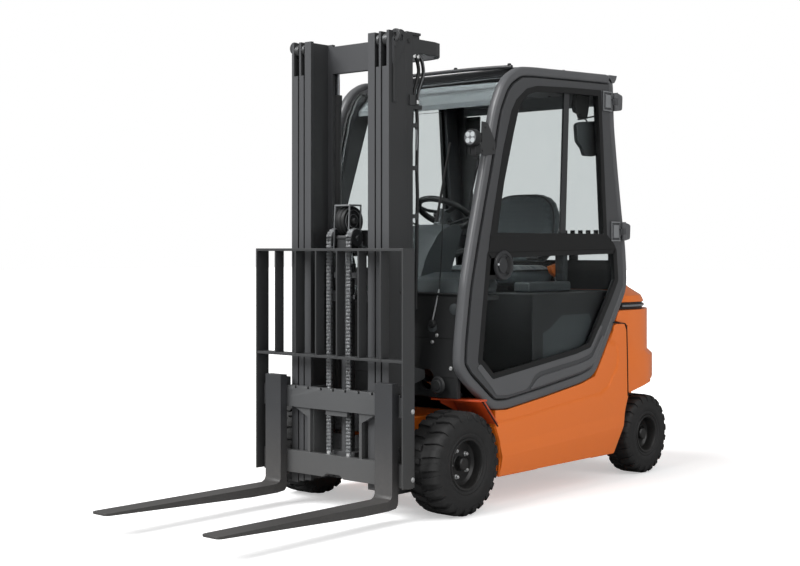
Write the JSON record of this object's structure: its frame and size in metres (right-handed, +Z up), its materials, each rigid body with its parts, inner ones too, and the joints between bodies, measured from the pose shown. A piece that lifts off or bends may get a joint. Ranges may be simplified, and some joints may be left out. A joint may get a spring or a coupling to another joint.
{
  "type": "four-wheel counterbalance forklift",
  "caption": "Compact electric counterbalance forklift with a closed cab, a three-stage mast, a fork carriage with load backrest, and steered rear wheels.",
  "frame": {"origin": "centre of the bounding box's base, on the floor midway between the fork tips and the back of the counterweight", "axes": "+X to the truck's left, +Y to its rear, with the forks pointing along -Y, +Z up"},
  "size_m": [1.074, 3.18, 2.1192],
  "materials": {
    "orange_paint": "satin orange enamel",
    "dark_paint": "satin dark grey enamel",
    "cab_paint": "satin charcoal powder coat",
    "mast_paint": "satin anthracite enamel",
    "black_plastic": "matt moulded",
    "hose_rubber": "smooth braided hose cover",
    "cylinder_black": "satin black enamel",
    "battery_case": "grey enamelled steel case",
    "tyre_rubber": "solid tyre on a black rim",
    "chrome_rod": "hard chrome",
    "chain_steel": "oiled leaf chain",
    "window_glass": "clear toughened",
    "seat_cover": "matt grained cover",
    "lamp_housing": "black bowl and clear lens",
    "trim_strip": "satin strip"
  },
  "bodies": {
    "chassis": {"chassis_frame": "orange_paint", "battery_block": "battery_case", "counterweight": "orange_paint", "counterweight_trim": "trim_strip", "counterweight_cap": "orange_paint", "seat_deck": "black_plastic", "floor_plate": "black_plastic", "front_cowl": "black_plastic", "drive_axle": "dark_paint", "steer_axle": "dark_paint", "roof": "dark_paint", "windscreen": "window_glass", "rear_window": "window_glass", "steering_column": "black_plastic", "seat_cushion": "seat_cover", "seat_backrest": "seat_cover", "front_fender_left": "orange_paint", "front_fender_right": "orange_paint", "cab_side_left": "cab_paint", "cab_side_right": "cab_paint", "headlight_left": "lamp_housing", "headlight_right": "lamp_housing"},
    "steering_wheel": {"steering_wheel": "black_plastic"},
    "outer_mast": {"outer_mast": "mast_paint", "mast_hose_front": "hose_rubber", "mast_hose_rear": "hose_rubber"},
    "middle_mast": {"middle_mast": "mast_paint", "lift_rod_left": "chrome_rod", "lift_rod_right": "chrome_rod"},
    "inner_mast": {"inner_mast": "mast_paint"},
    "free_lift": {"free_lift_rod": "chrome_rod", "crosshead": "mast_paint", "lift_chain_left": "chain_steel", "lift_chain_right": "chain_steel"},
    "carriage": {"carriage": "mast_paint", "load_backrest": "mast_paint"},
    "steer_left": {"steer_knuckle_left": "dark_paint"},
    "front_wheel_left": {"front_wheel_left": "tyre_rubber"},
    "rear_wheel_left": {"rear_wheel_left": "tyre_rubber"},
    "door_left": {"door_frame_left": "cab_paint", "door_glass_upper_left": "window_glass", "door_glass_lower_left": "window_glass"},
    "tilt_barrel_left": {"tilt_barrel_left": "cylinder_black"},
    "tilt_rod_left": {"tilt_rod_left": "chrome_rod"},
    "fork_left": {"fork_left": "dark_paint"},
    "steer_right": {"steer_knuckle_right": "dark_paint"},
    "front_wheel_right": {"front_wheel_right": "tyre_rubber"},
    "rear_wheel_right": {"rear_wheel_right": "tyre_rubber"},
    "door_right": {"door_frame_right": "cab_paint", "door_glass_upper_right": "window_glass", "door_glass_lower_right": "window_glass"},
    "tilt_barrel_right": {"tilt_barrel_right": "cylinder_black"},
    "tilt_rod_right": {"tilt_rod_right": "chrome_rod"},
    "fork_right": {"fork_right": "dark_paint"}
  },
  "joints": [
    {"name": "mast_tilt", "type": "hinge", "parent": "chassis", "child": "outer_mast", "pos_m": [0, -0.356, 0.25], "axis": [1, 0, 0], "range_deg": [-5, 6]},
    {"name": "middle_lift", "type": "slide", "parent": "outer_mast", "child": "middle_mast", "axis": [0, 0, 1], "range_m": [0, 1.3]},
    {"name": "inner_lift", "type": "slide", "parent": "middle_mast", "child": "inner_mast", "axis": [0, 0, 1], "range_m": [0, 1.3]},
    {"name": "carriage_lift", "type": "slide", "parent": "inner_mast", "child": "carriage", "axis": [0, 0, 1], "range_m": [-0.06, 1.4], "deforming": ["lift_chain_left", "lift_chain_right"]},
    {"name": "free_lift_slide", "type": "slide", "parent": "inner_mast", "child": "free_lift", "axis": [0, 0, 1], "range_m": [-0.031, 0.701]},
    {"name": "steering_wheel_turn", "type": "hinge", "parent": "chassis", "child": "steering_wheel", "pos_m": [0, 0.198, 1.34], "axis": [0, 0.5, 0.866], "continuous": true},
    {"name": "front_wheel_left_spin", "type": "hinge", "parent": "chassis", "child": "front_wheel_left", "pos_m": [0.433, -0.272, 0.2285], "axis": [1, 0, 0], "continuous": true},
    {"name": "steer_left_turn", "type": "hinge", "parent": "chassis", "child": "steer_left", "pos_m": [0.305, 1.269, 0.2045], "axis": [0, 0, 1], "range_deg": [-75, 75]},
    {"name": "rear_wheel_left_spin", "type": "hinge", "parent": "steer_left", "child": "rear_wheel_left", "pos_m": [0.413, 1.269, 0.2045], "axis": [1, 0, 0], "continuous": true},
    {"name": "door_left_swing", "type": "hinge", "parent": "chassis", "child": "door_left", "pos_m": [0.524, 0.977, 1.253], "axis": [0, -0.114, 0.9935], "range_deg": [0, 100]},
    {"name": "tilt_barrel_left_swing", "type": "hinge", "parent": "chassis", "child": "tilt_barrel_left", "pos_m": [0.279, 0.168, 0.385], "axis": [1, 0, 0], "range_deg": [-1.3, 1.5]},
    {"name": "tilt_rod_left_slide", "type": "slide", "parent": "tilt_barrel_left", "child": "tilt_rod_left", "axis": [0, -0.9071, 0.4208], "range_m": [-0.032, 0.038]},
    {"name": "fork_left_shift", "type": "slide", "parent": "carriage", "child": "fork_left", "axis": [1, 0, 0], "range_m": [-0.17, 0.045]},
    {"name": "front_wheel_right_spin", "type": "hinge", "parent": "chassis", "child": "front_wheel_right", "pos_m": [-0.433, -0.272, 0.2285], "axis": [1, 0, 0], "continuous": true},
    {"name": "steer_right_turn", "type": "hinge", "parent": "chassis", "child": "steer_right", "pos_m": [-0.305, 1.269, 0.2045], "axis": [0, 0, 1], "range_deg": [-75, 75]},
    {"name": "rear_wheel_right_spin", "type": "hinge", "parent": "steer_right", "child": "rear_wheel_right", "pos_m": [-0.413, 1.269, 0.2045], "axis": [1, 0, 0], "continuous": true},
    {"name": "door_right_swing", "type": "hinge", "parent": "chassis", "child": "door_right", "pos_m": [-0.524, 0.977, 1.253], "axis": [0, 0.114, -0.9935], "range_deg": [0, 100]},
    {"name": "tilt_barrel_right_swing", "type": "hinge", "parent": "chassis", "child": "tilt_barrel_right", "pos_m": [-0.279, 0.168, 0.385], "axis": [1, 0, 0], "range_deg": [-1.3, 1.5]},
    {"name": "tilt_rod_right_slide", "type": "slide", "parent": "tilt_barrel_right", "child": "tilt_rod_right", "axis": [0, -0.9071, 0.4208], "range_m": [-0.032, 0.038]},
    {"name": "fork_right_shift", "type": "slide", "parent": "carriage", "child": "fork_right", "axis": [-1, 0, 0], "range_m": [-0.17, 0.045]}
  ],
  "couplings": [
    {"joint": "inner_lift", "follows": "middle_lift", "ratio": 1},
    {"joint": "free_lift_slide", "follows": "carriage_lift", "ratio": 0.5},
    {"joint": "steer_right_turn", "follows": "steer_left_turn", "ratio": 1},
    {"joint": "tilt_barrel_left_swing", "follows": "mast_tilt", "ratio": 0.21719},
    {"joint": "tilt_rod_left_slide", "follows": "mast_tilt", "m_per_rad": 0.34298},
    {"joint": "tilt_barrel_right_swing", "follows": "mast_tilt", "ratio": 0.21719},
    {"joint": "tilt_rod_right_slide", "follows": "mast_tilt", "m_per_rad": 0.34298}
  ]
}
